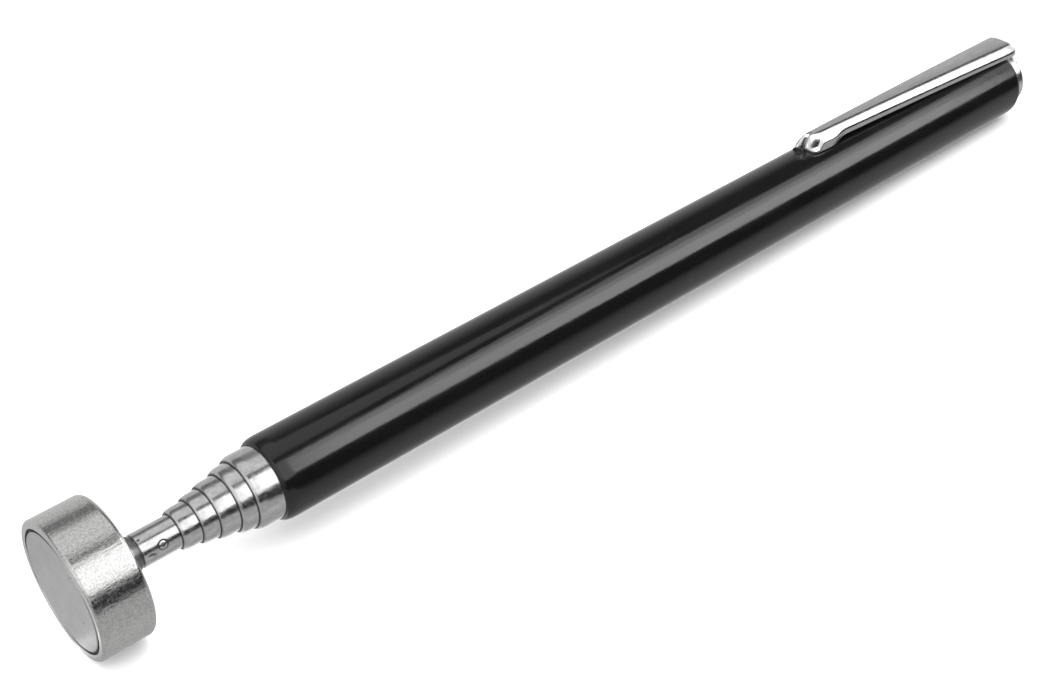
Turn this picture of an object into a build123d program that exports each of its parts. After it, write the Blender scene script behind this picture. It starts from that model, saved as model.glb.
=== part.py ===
"""Telescoping magnetic pickup tool: a pen-shaped barrel, six nested tubes and a magnet head.

Millimetres. The tool lies along X: the origin is the centre of the magnet's working face, +X runs
along the common axis to the rear end of the barrel, and +Z is the side that carries the pocket clip.
The tool is modelled closed, with every tube pushed home. Each sub-part is one STEP file in parts/.
"""
from build123d import *
from math import cos, radians, sin
import os

# ---- driving dimensions: overall layout along X ----
BARREL_FRONT = 26.7
BARREL_REAR = 167.9
TUBE_FRONTS = [23.3, 21.3, 18.8, 16.7, 14.3, 9.4]       # front lip of tube_1 ... tube_6
TUBE_REAR = 155.5                                       # rear end of every tube, closed
STOP_FRONT = 134.9                                      # front face of every stop bush, closed

# ---- driving dimensions: radii ----
BARREL_RADIUS = 5.5
BARREL_WALL = 0.45
TUBE_RADII = [4.82, 4.25, 3.62, 3.13, 2.66, 2.15]       # outer radius of tube_1 ... tube_6
TUBE_WALL = 0.25
RUNNING_GAP = 0.03                                      # radial clearance of every sliding fit

# ---- tube ends, stop bushes and friction springs ----
NECK_LENGTH = 1.0                                       # rolled-in front end of a tube
BARREL_NECK_LENGTH = 1.2
LIP_THICKNESS = 0.08
FLARE_LENGTH = 0.8                                      # rolled-out rear end of a tube
BUSH_LENGTH = 4.0
END_GAP = 0.1                                           # axial clearance beside a spring
SPRING_SLIT = 0.9

# ---- magnet head ----
HEAD_RADIUS = 8.9
HEAD_LENGTH = 6.8
HEAD_FRONT_ROUND = 0.45
HEAD_BACK_ROUND = 0.6
POCKET_RADIUS = 7.9
POCKET_DEPTH = 5.6
MAGNET_RADIUS = 7.52
MAGNET_LENGTH = 4.6
MAGNET_ROUND = 0.12
GLUE_RECESS = 0.45

# ---- head stud ----
STUD_FLANGE_RADIUS = 3.0
STUD_FLANGE_LENGTH = 0.85
STUD_SHANK_RADIUS = 1.5
STUD_COLLAR_RADIUS = 2.2
STUD_SPIGOT_LENGTH = 11.0
CRIMP_X = 12.0
CRIMP_TURN = 162.5                                      # first of three crimps, from +Y towards +Z
CRIMP_BALL = 0.7
CRIMP_DEPTH = 0.12

# ---- barrel rear end ----
REAR_ROUND = 1.0
REAR_HOLE_RADIUS = 3.9
PLUG_FRONT = TUBE_REAR + END_GAP

# ---- pocket clip ----
CLIP_TIP = 121.3
CLIP_END = 170.3                                        # outer face of the clip's end plate
CLIP_WALL = 0.45
CLIP_TIP_HEIGHT = 8.04                                  # top of the arm above the tool's axis
CLIP_ROOT_HEIGHT = 6.6
CLIP_TIP_HALF_WIDTH = 1.36
CLIP_ROOT_HALF_WIDTH = 3.08
CLIP_EDGE_ROUND = 1.08
CLIP_BEND_RADIUS = 1.3
CLIP_FLANGE = 1.72                                      # top of the arm to the edge of its flange
CLIP_LEAF_FLOOR = 5.5                                   # the deep flanges that touch the barrel
CLIP_LEAF_END = 126.2
CLIP_LEAF_FADE = 129.6
HINGE_HEIGHT = 4.86                                     # where the end plate flexes
HINGE_SLOT = 0.06
NECK_HALF_WIDTH = 2.2
EYE_RADIUS = 4.5
EYE_ROUND = 0.9
RIVET_RADIUS = 1.2
RIVET_HEAD_RADIUS = 2.4
RIVET_HEAD_SHOULDER = 1.7                               # fullness of the rivet's dome
RIVET_HEAD_HEIGHT = 0.65
RIVET_DEPTH = 8.0


def turned(edges):
    """A solid of revolution about X from the closed outline of its half section in XZ."""
    return revolve(make_face(Wire(edges)), axis=Axis.X)


def outline(*points):
    """Straight edges through (x, radius) points, in the XZ plane."""
    spots = [Vector(x, 0, r) for x, r in points]
    return [Line(a, b) for a, b in zip(spots, spots[1:])]


def bend(start, corner, end):
    """A smooth quarter bend from start to end, tangent to the lines that meet at corner."""
    return Bezier(*[Vector(x, 0, r) for x, r in (start, corner, end)])


def rear_corner(start, end, radius):
    """A round corner between the side and the rear face of a turned piece."""
    centre_x = min(start[0], end[0])
    centre_r = min(start[1], end[1])
    middle = (centre_x + radius * cos(radians(45)), centre_r + radius * sin(radians(45)))
    return ThreePointArc(*[Vector(x, 0, r) for x, r in (start, middle, end)])


def ring(x_low, x_high, inner, outer):
    """A plain turned ring."""
    return turned(outline((x_low, inner), (x_high, inner), (x_high, outer), (x_low, outer), (x_low, inner)))


def necked_front(x_front, neck, outer, wall, lip_inner):
    """Edges of a tube's rolled-in front end, from its bore round the lip to its outside."""
    bore = outer - wall
    lip_outer = lip_inner + LIP_THICKNESS
    lip_depth = 2 * LIP_THICKNESS
    bore_start = (x_front + neck, bore)
    outside_start = (x_front + neck, outer)
    return [
        bend(bore_start, (x_front + lip_depth, bore), (x_front + lip_depth, lip_inner)),
        *outline((x_front + lip_depth, lip_inner), (x_front, lip_inner), (x_front, lip_outer)),
        bend((x_front, lip_outer), (x_front, outer), outside_start),
    ]


def guide_bore(index):
    """Radius of the bore that a tube slides in."""
    if index == 0:
        return BARREL_RADIUS - BARREL_WALL
    return TUBE_RADII[index - 1] - TUBE_WALL


def sliding_tube(index):
    """One chromed tube: rolled in at the front on to the next tube, rolled out at the rear."""
    outer = TUBE_RADII[index]
    bore = outer - TUBE_WALL
    x_front = TUBE_FRONTS[index]
    guide = guide_bore(index) - RUNNING_GAP
    flare_x = TUBE_REAR - FLARE_LENGTH
    rear = outline((x_front + NECK_LENGTH, outer), (flare_x, outer), (flare_x, guide), (TUBE_REAR, guide),
                   (TUBE_REAR, bore), (x_front + NECK_LENGTH, bore))
    lip_inner = TUBE_RADII[index + 1] + RUNNING_GAP
    return turned(necked_front(x_front, NECK_LENGTH, outer, TUBE_WALL, lip_inner) + rear)


def inner_tube():
    """The thinnest tube: its plain front end is crimped on to the head stud."""
    outer = TUBE_RADII[-1]
    bore = outer - TUBE_WALL
    guide = guide_bore(5) - RUNNING_GAP
    flare_x = TUBE_REAR - FLARE_LENGTH
    x_front = TUBE_FRONTS[-1]
    tube = turned(outline((x_front, bore), (x_front, outer), (flare_x, outer), (flare_x, guide),
                          (TUBE_REAR, guide), (TUBE_REAR, bore), (x_front, bore)))
    reach = outer + CRIMP_BALL - CRIMP_DEPTH
    for crimp in range(3):
        turn = radians(CRIMP_TURN + 120 * crimp)
        centre = (CRIMP_X, reach * cos(turn), reach * sin(turn))
        tube -= Pos(*centre) * Sphere(CRIMP_BALL)
    return tube


def stop_bush(index):
    """A ring pressed on a tube: it meets the rolled-in lip ahead of it and stops the pull."""
    return ring(STOP_FRONT, STOP_FRONT + BUSH_LENGTH, TUBE_RADII[index], guide_bore(index) - RUNNING_GAP)


def friction_spring(index):
    """A slit sleeve between two tubes that holds the inner one where it is left."""
    x_low = STOP_FRONT + BUSH_LENGTH + END_GAP
    x_high = TUBE_REAR - FLARE_LENGTH - END_GAP
    sleeve = ring(x_low, x_high, TUBE_RADII[index] + RUNNING_GAP, guide_bore(index) - RUNNING_GAP)
    cutter = Box(x_high - x_low + 1, SPRING_SLIT, 2 * BARREL_RADIUS)
    return sleeve - Pos((x_low + x_high) / 2, 0, -BARREL_RADIUS) * cutter


def barrel_tube():
    """The lacquered barrel: rolled in at the front on to tube_1 and at the rear over its plug."""
    bore = BARREL_RADIUS - BARREL_WALL
    front = necked_front(BARREL_FRONT, BARREL_NECK_LENGTH, BARREL_RADIUS, BARREL_WALL,
                         TUBE_RADII[0] + RUNNING_GAP)
    inner_end = BARREL_REAR - BARREL_WALL
    inner_round = REAR_ROUND - BARREL_WALL
    rear_out = (BARREL_REAR - REAR_ROUND, BARREL_RADIUS)
    rear_face = (BARREL_REAR, BARREL_RADIUS - REAR_ROUND)
    bore_out = (inner_end - inner_round, bore)
    bore_face = (inner_end, bore - inner_round)
    rear = [
        *outline((BARREL_FRONT + BARREL_NECK_LENGTH, BARREL_RADIUS), rear_out),
        rear_corner(rear_out, rear_face, REAR_ROUND),
        *outline(rear_face, (BARREL_REAR, REAR_HOLE_RADIUS), (inner_end, REAR_HOLE_RADIUS), bore_face),
        rear_corner(bore_face, bore_out, inner_round),
        *outline(bore_out, (BARREL_FRONT + BARREL_NECK_LENGTH, bore)),
    ]
    return turned(front + rear)


def end_plug():
    """The plug behind the tubes: it backs the rolled rear edge and takes the clip rivet."""
    bore = BARREL_RADIUS - BARREL_WALL
    inner_end = BARREL_REAR - BARREL_WALL
    chamfer = REAR_ROUND - BARREL_WALL
    rivet_end = BARREL_REAR - RIVET_DEPTH
    return turned(outline((PLUG_FRONT, 0), (PLUG_FRONT, bore), (inner_end - chamfer, bore),
                          (inner_end, bore - chamfer), (inner_end, REAR_HOLE_RADIUS),
                          (BARREL_REAR, REAR_HOLE_RADIUS), (BARREL_REAR, RIVET_RADIUS),
                          (rivet_end, RIVET_RADIUS), (rivet_end, 0), (PLUG_FRONT, 0)))


def head_cup():
    """The steel pole cup round the magnet, open to the front."""
    cup = turned(outline((0, POCKET_RADIUS), (0, HEAD_RADIUS), (HEAD_LENGTH, HEAD_RADIUS),
                         (HEAD_LENGTH, STUD_SHANK_RADIUS), (POCKET_DEPTH, STUD_SHANK_RADIUS),
                         (POCKET_DEPTH, POCKET_RADIUS), (0, POCKET_RADIUS)))
    cup = fillet(rims(cup, HEAD_RADIUS)[0], HEAD_FRONT_ROUND)
    return fillet(rims(cup, HEAD_RADIUS)[-1], HEAD_BACK_ROUND)


def rims(solid, radius):
    """The circular edges of one radius round a turned solid, front to back."""
    circles = solid.edges().filter_by(GeomType.CIRCLE)
    return circles.filter_by(lambda edge: abs(edge.radius - radius) < 0.01).sort_by(Axis.X)


def magnet_disc():
    """The nickel-plated disc magnet, flush with the cup's rim."""
    disc = turned(outline((0, 0), (0, MAGNET_RADIUS), (MAGNET_LENGTH, MAGNET_RADIUS),
                          (MAGNET_LENGTH, 0), (0, 0)))
    return fillet(rims(disc, MAGNET_RADIUS)[0], MAGNET_ROUND)


def magnet_glue():
    """The epoxy that holds the magnet: a ring round it and a bed behind it."""
    bed = POCKET_DEPTH - STUD_FLANGE_LENGTH
    return turned(outline((GLUE_RECESS, MAGNET_RADIUS), (GLUE_RECESS, POCKET_RADIUS),
                          (POCKET_DEPTH, POCKET_RADIUS), (POCKET_DEPTH, STUD_FLANGE_RADIUS),
                          (bed, STUD_FLANGE_RADIUS), (bed, 0), (MAGNET_LENGTH, 0),
                          (MAGNET_LENGTH, MAGNET_RADIUS), (GLUE_RECESS, MAGNET_RADIUS)))


def head_stud():
    """The stud that is riveted through the cup and crimped into the thinnest tube."""
    tube_front = TUBE_FRONTS[-1]
    spigot = TUBE_RADII[-1] - TUBE_WALL
    spigot_end = tube_front + STUD_SPIGOT_LENGTH
    flange = POCKET_DEPTH - STUD_FLANGE_LENGTH
    return turned(outline((flange, 0), (flange, STUD_FLANGE_RADIUS), (POCKET_DEPTH, STUD_FLANGE_RADIUS),
                          (POCKET_DEPTH, STUD_SHANK_RADIUS), (HEAD_LENGTH, STUD_SHANK_RADIUS),
                          (HEAD_LENGTH, STUD_COLLAR_RADIUS), (tube_front, STUD_COLLAR_RADIUS),
                          (tube_front, spigot), (spigot_end, spigot), (spigot_end, 0), (flange, 0)))


def arm_height(x):
    """Top of the clip arm above the axis, at a place along the tool."""
    return CLIP_TIP_HEIGHT + (CLIP_ROOT_HEIGHT - CLIP_TIP_HEIGHT) * (x - CLIP_TIP) / (CLIP_END - CLIP_TIP)


def arm_half_width(x):
    share = (x - CLIP_TIP) / (CLIP_END - CLIP_TIP)
    return CLIP_TIP_HALF_WIDTH + (CLIP_ROOT_HALF_WIDTH - CLIP_TIP_HALF_WIDTH) * share


def arm_section(x, inset):
    """Cross-section of the arm's round-shouldered outside, shrunk by inset."""
    half = arm_half_width(x) - inset
    top = arm_height(x) - inset
    shoulder = CLIP_EDGE_ROUND - inset
    floor = HINGE_HEIGHT - 2
    path = Polyline((-half, top - shoulder), (-half, floor), (half, floor), (half, top - shoulder))
    slope = shoulder * sin(radians(45))
    right = ThreePointArc((half, top - shoulder), (half - shoulder + slope, top - shoulder + slope),
                          (half - shoulder, top))
    flat = Line((half - shoulder, top), (shoulder - half, top))
    left = ThreePointArc((shoulder - half, top), (shoulder - half - slope, top - shoulder + slope),
                         (-half, top - shoulder))
    face = make_face([*path.edges(), right, flat, left])
    return Plane(origin=(x, 0, 0), x_dir=(0, 1, 0), z_dir=(1, 0, 0)) * face


def arm_side():
    """Side view of the clip arm: flange edges, deep leaves at the tip, bent end plate."""
    reach = 1.0
    root = CLIP_END - CLIP_BEND_RADIUS
    corner = (CLIP_END, arm_height(CLIP_END))
    plate_foot = HINGE_HEIGHT + HINGE_SLOT / 2
    spots = [
        (CLIP_TIP - reach, CLIP_LEAF_FLOOR), (CLIP_LEAF_END, CLIP_LEAF_FLOOR),
        (CLIP_LEAF_FADE, arm_height(CLIP_LEAF_FADE) - CLIP_FLANGE),
        (CLIP_END - CLIP_WALL, arm_height(CLIP_END) - CLIP_FLANGE + CLIP_WALL / 4),
        (CLIP_END - CLIP_WALL, plate_foot), (CLIP_END, plate_foot),
        (CLIP_END, arm_height(CLIP_END) - CLIP_BEND_RADIUS),
    ]
    edges = outline(*spots)
    edges.append(bend(spots[-1], corner, (root, arm_height(root))))
    edges += outline((root, arm_height(root)), (root, CLIP_TIP_HEIGHT + reach),
                     (CLIP_TIP - reach, CLIP_TIP_HEIGHT + reach), spots[0])
    side = make_face(Wire(edges))
    return extrude(side, amount=CLIP_ROOT_HALF_WIDTH + reach, both=True)


def clip_arm():
    """The springy arm: a tapering channel, closed at the tip and at the end plate."""
    outside = loft([arm_section(CLIP_TIP, 0), arm_section(CLIP_END, 0)], ruled=True)
    tip_wall = CLIP_TIP + CLIP_WALL
    end_plate = CLIP_END - CLIP_WALL
    inside = loft([arm_section(tip_wall, CLIP_WALL), arm_section(end_plate, CLIP_WALL)], ruled=True)
    return (outside - inside) & arm_side()


def clip_eye():
    """The round drawn cap over the barrel's end, with the neck that carries the arm."""
    inside = EYE_RADIUS - CLIP_WALL
    back = CLIP_END - CLIP_WALL
    cap = turned(outline((BARREL_REAR, inside), (BARREL_REAR, EYE_RADIUS), (CLIP_END, EYE_RADIUS),
                         (CLIP_END, RIVET_RADIUS), (back, RIVET_RADIUS), (back, inside),
                         (BARREL_REAR, inside)))
    cap = fillet(rims(cap, EYE_RADIUS)[-1], EYE_ROUND)
    neck_foot = EYE_RADIUS - 2 * EYE_ROUND
    neck_top = HINGE_HEIGHT - HINGE_SLOT / 2
    neck = Box(CLIP_WALL, 2 * NECK_HALF_WIDTH, neck_top - neck_foot)
    return cap + Pos(CLIP_END - CLIP_WALL / 2, 0, (neck_top + neck_foot) / 2) * neck


def clip_rivet():
    """The domed rivet through the clip's eye into the plug."""
    shank_end = BARREL_REAR - RIVET_DEPTH
    rim = (CLIP_END, RIVET_HEAD_RADIUS)
    crown = (CLIP_END + RIVET_HEAD_HEIGHT, 0)
    shoulder = (CLIP_END + RIVET_HEAD_HEIGHT, RIVET_HEAD_SHOULDER)
    edges = outline(crown, (shank_end, 0), (shank_end, RIVET_RADIUS), (CLIP_END, RIVET_RADIUS), rim)
    return turned([*edges, bend(rim, shoulder, crown)])


parts = {
    "barrel_tube": barrel_tube(),
    "end_plug": end_plug(),
    "clip_eye": clip_eye(),
    "clip_rivet": clip_rivet(),
    "clip_arm": clip_arm(),
    "tube_6": inner_tube(),
    "head_stud": head_stud(),
    "head_cup": head_cup(),
    "magnet_disc": magnet_disc(),
    "magnet_glue": magnet_glue(),
}
for index in range(5):
    parts[f"tube_{index + 1}"] = sliding_tube(index)
for index in range(6):
    parts[f"stop_bush_{index + 1}"] = stop_bush(index)
    parts[f"friction_spring_{index + 1}"] = friction_spring(index)

os.makedirs("parts", exist_ok=True)
for name, solid in parts.items():
    export_step(solid, f"parts/{name}.step")
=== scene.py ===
"""The looks of a telescoping magnetic pickup tool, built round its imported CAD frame.

The tool lies along X: the magnet's working face is at x = 0, the barrel's rear end is at +X and the
pocket clip is on the +Z side. Shapes are worked out in millimetres and turned into metres by MM.
"""
from math import atan2, copysign, cos, hypot, pi, radians, sin, tan

import bmesh
import bpy
from mathutils import Matrix, Vector


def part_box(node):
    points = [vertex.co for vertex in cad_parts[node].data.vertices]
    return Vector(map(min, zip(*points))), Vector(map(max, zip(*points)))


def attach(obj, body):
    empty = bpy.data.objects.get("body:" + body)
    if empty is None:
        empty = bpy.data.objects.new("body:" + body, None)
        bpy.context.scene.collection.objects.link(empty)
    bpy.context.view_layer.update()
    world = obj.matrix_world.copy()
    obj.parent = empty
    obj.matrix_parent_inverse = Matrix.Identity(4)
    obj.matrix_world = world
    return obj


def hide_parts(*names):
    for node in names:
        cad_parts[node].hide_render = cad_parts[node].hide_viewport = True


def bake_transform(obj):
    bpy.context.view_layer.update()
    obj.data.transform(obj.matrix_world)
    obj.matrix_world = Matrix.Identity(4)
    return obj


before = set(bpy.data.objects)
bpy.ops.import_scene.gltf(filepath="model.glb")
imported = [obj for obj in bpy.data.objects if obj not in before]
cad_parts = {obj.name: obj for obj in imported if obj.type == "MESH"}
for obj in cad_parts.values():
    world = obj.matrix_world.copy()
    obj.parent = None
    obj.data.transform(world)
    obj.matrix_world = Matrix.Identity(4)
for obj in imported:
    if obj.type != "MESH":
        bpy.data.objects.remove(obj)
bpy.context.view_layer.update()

MM = 0.001
FINE = 192                      # segments round the barrel and the head
SLIM = 144                      # segments round the slim turned pieces
SHARP_ANGLE = radians(32)
SUPPORT = 0.06                  # distance of the loops that hold a long flat run, mm
TINY = 1e-6                     # a radius below this is a point on the axis


# ---------------------------------------------------------------- sizes from the CAD frame
def span(node):
    """Front end, rear end and outer radius of a turned node, in millimetres."""
    low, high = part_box(node)
    return low.x / MM, high.x / MM, high.y / MM


def smooth(value):
    """An even step from 0 to 1."""
    value = min(max(value, 0.0), 1.0)
    return value * value * (3 - 2 * value)


# ---------------------------------------------------------------- outlines and turned meshes
def fillet_points(before, corner, after, radius, steps=7):
    """Points of a round corner between two straight runs of an outline."""
    back = (Vector(before) - Vector(corner)).normalized()
    ahead = (Vector(after) - Vector(corner)).normalized()
    half = back.angle(ahead) / 2
    centre = Vector(corner) + (back + ahead).normalized() * radius / sin(half)
    start = Vector(corner) + back * radius / tan(half) - centre
    end = Vector(corner) + ahead * radius / tan(half) - centre
    turn = start.angle_signed(end)
    turns = [turn * step / steps for step in range(steps + 1)]
    return [tuple(centre + start @ Matrix.Rotation(angle, 2)) for angle in turns]


def rounded(*corners):
    """Outline points through (x, radius) or (x, radius, fillet) corners, taken as a closed loop."""
    points = []
    for index, corner in enumerate(corners):
        if len(corner) == 2:
            points.append(corner)
            continue
        before = corners[index - 1][:2]
        after = corners[(index + 1) % len(corners)][:2]
        points += fillet_points(before, corner[:2], after, corner[2])
    return points


def bezier(start, corner, end, steps=12):
    """A smooth quarter bend between two points, tangent to the lines that meet at corner."""
    points = []
    for step in range(steps + 1):
        t = step / steps
        points.append(tuple(Vector(start) * (1 - t) ** 2 + Vector(corner) * 2 * t * (1 - t)
                            + Vector(end) * t * t))
    return points


def with_supports(points, closed):
    """The outline with extra points near both ends of its long runs, so that they shade flat."""
    result = []
    pairs = zip(points, points[1:] + points[:1] if closed else points[1:])
    for start, end in pairs:
        result.append(start)
        run = Vector(end) - Vector(start)
        if run.length > 8 * SUPPORT:
            step = run.normalized() * SUPPORT
            result += [tuple(Vector(start) + step), tuple(Vector(end) - step)]
    return result if closed else result + [points[-1]]


def finished(name, mesh, material):
    """The object of a mesh, smooth-shaded except at its true edges."""
    mesh.shade_smooth()
    mesh.set_sharp_from_angle(angle=SHARP_ANGLE)
    mesh.materials.append(material)
    piece = bpy.data.objects.new(name, mesh)
    bpy.context.scene.collection.objects.link(piece)
    return piece


def with_dirt_and_shade(mesh, dirt_and_shade):
    """Stores how much darkening each point holds (painted shade at tube lips, dirt in crimp punches),
    from a function of x, y, z in millimetres.
    """
    darkening = mesh.attributes.new("dirt_and_shade", "FLOAT", "POINT")
    darkening.data.foreach_set("value", [dirt_and_shade(*(vertex.co / MM)) for vertex in mesh.vertices])
    return mesh


def mesh_from(name, vertices, faces):
    """A mesh in metres from millimetre vertices, with its faces turned outward."""
    mesh = bpy.data.meshes.new(name)
    mesh.from_pydata([[value * MM for value in vertex] for vertex in vertices], [], faces)
    shell = bmesh.new()
    shell.from_mesh(mesh)
    bmesh.ops.recalc_face_normals(shell, faces=shell.faces)
    shell.to_mesh(mesh)
    shell.free()
    return mesh


def turned_mesh(name, points, segments=SLIM, closed=True, shape=None):
    """An outline of (x, radius) points swept round the X axis.

    shape(x, angle, radius) gives the swept radius where it isn't the outline's own.
    """
    points = with_supports(points, closed)
    vertices, rings = [], []
    for x, radius in points:
        count = segments if radius > TINY else 1
        rings.append(range(len(vertices), len(vertices) + count))
        for index in range(count):
            angle = 2 * pi * index / segments
            swept = shape(x, angle, radius) if shape else radius
            vertices.append((x, swept * sin(angle), swept * cos(angle)))
    faces = []
    neighbours = zip(rings, rings[1:] + rings[:1] if closed else rings[1:])
    for ring, following in neighbours:
        for index in range(segments):
            after = (index + 1) % segments
            corners = [ring[index % len(ring)], ring[after % len(ring)],
                       following[after % len(following)], following[index % len(following)]]
            distinct = list(dict.fromkeys(corners))
            if len(distinct) > 2:
                faces.append(distinct)
    return mesh_from(name, vertices, faces)


# ---------------------------------------------------------------- materials
class Finish:
    """A node material: a Principled shader fed from noise in the object's own millimetres."""

    def __init__(self, name, **sockets):
        self.material = bpy.data.materials.new(name)
        self.material.use_nodes = True
        self.nodes = self.material.node_tree.nodes
        self.links = self.material.node_tree.links
        self.shader = self.nodes["Principled BSDF"]
        for socket, value in sockets.items():
            self.shader.inputs[socket.replace("_", " ")].default_value = value
        coordinates = self.nodes.new("ShaderNodeTexCoord")
        self.place = coordinates.outputs["Object"]

    def scaled(self, stretch):
        """The place in millimetres, squeezed by stretch along each axis."""
        mapping = self.nodes.new("ShaderNodeMapping")
        mapping.inputs["Scale"].default_value = [value / MM for value in stretch]
        self.links.new(self.place, mapping.inputs["Vector"])
        return mapping.outputs["Vector"]

    def noise(self, scale, detail=3.0, roughness=0.55, stretch=(1, 1, 1), distortion=0.0):
        texture = self.nodes.new("ShaderNodeTexNoise")
        texture.inputs["Scale"].default_value = scale
        texture.inputs["Detail"].default_value = detail
        texture.inputs["Roughness"].default_value = roughness
        texture.inputs["Distortion"].default_value = distortion
        self.links.new(self.scaled(stretch), texture.inputs["Vector"])
        return texture.outputs["Fac"]

    def specks(self, scale, size, share, stretch=(1, 1, 1)):
        """Small round spots, 1 inside and 0 outside: share of the cells hold one."""
        cells = self.nodes.new("ShaderNodeTexVoronoi")
        cells.inputs["Scale"].default_value = scale
        self.links.new(self.scaled(stretch), cells.inputs["Vector"])
        spot = self.remap(cells.outputs["Distance"], size * 0.6, size, 1.0, 0.0)
        chosen = self.remap(cells.outputs["Color"], 1 - share, 1 - share + 0.02, 0.0, 1.0)
        return self.maths("MULTIPLY", spot, chosen)

    def dirt_and_shade(self):
        """The darkening that the piece's points hold: painted shade at the tube lips, dirt in the crimp
        punches and tool marks.
        """
        node = self.nodes.new("ShaderNodeAttribute")
        node.attribute_name = "dirt_and_shade"
        return node.outputs["Fac"]

    def remap(self, source, low, high, to_low, to_high):
        node = self.nodes.new("ShaderNodeMapRange")
        node.interpolation_type = "SMOOTHSTEP"
        for socket, value in zip(("From Min", "From Max", "To Min", "To Max"),
                                 (low, high, to_low, to_high)):
            node.inputs[socket].default_value = value
        self.links.new(source, node.inputs["Value"])
        return node.outputs["Result"]

    def maths(self, operation, first, second):
        node = self.nodes.new("ShaderNodeMath")
        node.operation = operation
        for socket, value in zip(node.inputs, (first, second)):
            if isinstance(value, (int, float)):
                socket.default_value = value
            else:
                self.links.new(value, socket)
        return node.outputs["Value"]

    def colours(self, source, *stops):
        """Colours along a 0 to 1 source: each stop is (place, grey) or (place, red, green, blue)."""
        node = self.nodes.new("ShaderNodeValToRGB")
        ramp = node.color_ramp
        while len(ramp.elements) < len(stops):
            ramp.elements.new(0.5)
        for element, (place, *tint) in zip(ramp.elements, stops):
            element.position = place
            element.color = (*(tint * 3)[:3], 1) if len(tint) == 1 else (*tint, 1)
        self.links.new(source, node.inputs["Fac"])
        return node.outputs["Color"]

    def darkened(self, colour, spots, shade):
        """The colour with shade painted over it wherever spots is 1."""
        node = self.nodes.new("ShaderNodeMix")
        node.data_type = "RGBA"
        sockets = {socket.identifier: socket for socket in node.inputs}
        sockets["B_Color"].default_value = (*shade, 1)
        self.links.new(spots, sockets["Factor_Float"])
        self.links.new(colour, sockets["A_Color"])
        return next(socket for socket in node.outputs if socket.identifier == "Result_Color")

    def feed(self, socket, source):
        self.links.new(source, self.shader.inputs[socket])

    def bump(self, height, depth, normal=None):
        """Relief of the given depth in millimetres, chained on an earlier normal."""
        node = self.nodes.new("ShaderNodeBump")
        node.inputs["Strength"].default_value = 1.0
        node.inputs["Distance"].default_value = depth * MM
        self.links.new(height, node.inputs["Height"])
        if normal is not None:
            self.links.new(normal, node.inputs["Normal"])
        self.links.new(node.outputs["Normal"], self.shader.inputs["Normal"])
        return node.outputs["Normal"]


def lacquer():
    """Gloss black stoving lacquer with a little orange peel, dust and hairline scratches."""
    finish = Finish("barrel_lacquer", IOR=1.5)
    cloud = finish.noise(0.35, detail=4, stretch=(0.35, 1, 1))
    finish.feed("Base Color", finish.darkened(
        finish.colours(cloud, (0.3, 0.0026), (0.7, 0.0042)),
        finish.specks(0.8, 0.09, 0.05), (0.12, 0.12, 0.13)))
    smudge = finish.noise(0.5, detail=5, roughness=0.6, stretch=(0.25, 1, 1), distortion=0.4)
    finish.feed("Roughness", finish.remap(smudge, 0.3, 0.7, 0.12, 0.18))
    peel = finish.bump(finish.noise(1.3, detail=2, stretch=(0.5, 1, 1)), 0.007)
    grain = finish.bump(finish.noise(7.0, detail=2), 0.0006, peel)
    finish.bump(finish.noise(6.0, detail=2, stretch=(0.02, 1, 1)), 0.0006, grain)
    return finish.material


def tube_chrome():
    """Bright chrome over drawn tube: faint draw lines, a soft haze, painted shade where a lip meets the
    tube inside it and dirt in the crimp punches.
    """
    finish = Finish("tube_chrome", Metallic=1.0)
    tone = finish.noise(1.6, detail=4, roughness=0.7, stretch=(0.6, 1, 1))
    clean = finish.darkened(finish.colours(tone, (0.3, 0.48, 0.48, 0.485), (0.7, 0.64, 0.64, 0.645)),
                            finish.specks(1.3, 0.13, 0.10), (0.22, 0.22, 0.22))
    # stored darkening: painted shade at the tube lips, dirt in the crimp punches and tool marks
    finish.feed("Base Color", finish.darkened(clean, finish.dirt_and_shade(), (0.035, 0.035, 0.035)))
    haze = finish.noise(1.6, detail=5, roughness=0.65)
    finish.feed("Roughness", finish.remap(haze, 0.3, 0.7, 0.15, 0.25))
    ripple = finish.bump(finish.noise(1.1, detail=3, stretch=(0.7, 1, 1)), 0.012)
    finish.bump(finish.noise(9.0, detail=2, stretch=(0.05, 1, 1)), 0.0015, ripple)
    return finish.material


def cup_nickel():
    """Barrel-plated nickel over machined steel: grainy, with pits and a few bright grains."""
    finish = Finish("cup_nickel", Metallic=1.0)
    tone = finish.noise(4.0, detail=3, roughness=0.8)
    finish.feed("Base Color", finish.darkened(
        finish.colours(tone, (0.3, 0.44, 0.44, 0.435), (0.7, 0.70, 0.70, 0.69)),
        finish.specks(0.9, 0.17, 0.08), (0.10, 0.10, 0.10)))
    finish.feed("Roughness", finish.remap(finish.noise(2.5, detail=4), 0.3, 0.7, 0.13, 0.24))
    streaks = finish.bump(finish.noise(2.2, detail=5, roughness=0.66, stretch=(0.25, 1, 1)), 0.030)
    finish.bump(finish.noise(6.0, detail=3, roughness=0.7), 0.006, streaks)
    return finish.material


def magnet_nickel():
    """Smooth satin nickel plate on a sintered magnet, with a few dark pinholes."""
    finish = Finish("magnet_nickel", Metallic=1.0)
    tone = finish.noise(0.5, detail=5, roughness=0.6)
    finish.feed("Base Color", finish.darkened(
        finish.colours(tone, (0.3, 0.46, 0.46, 0.46), (0.7, 0.53, 0.53, 0.53)),
        finish.specks(0.7, 0.12, 0.22), (0.04, 0.04, 0.04)))
    finish.feed("Roughness", finish.remap(finish.noise(3.0, detail=4), 0.3, 0.7, 0.34, 0.46))
    finish.bump(finish.noise(5.0, detail=5, roughness=0.7), 0.004)
    return finish.material


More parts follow.
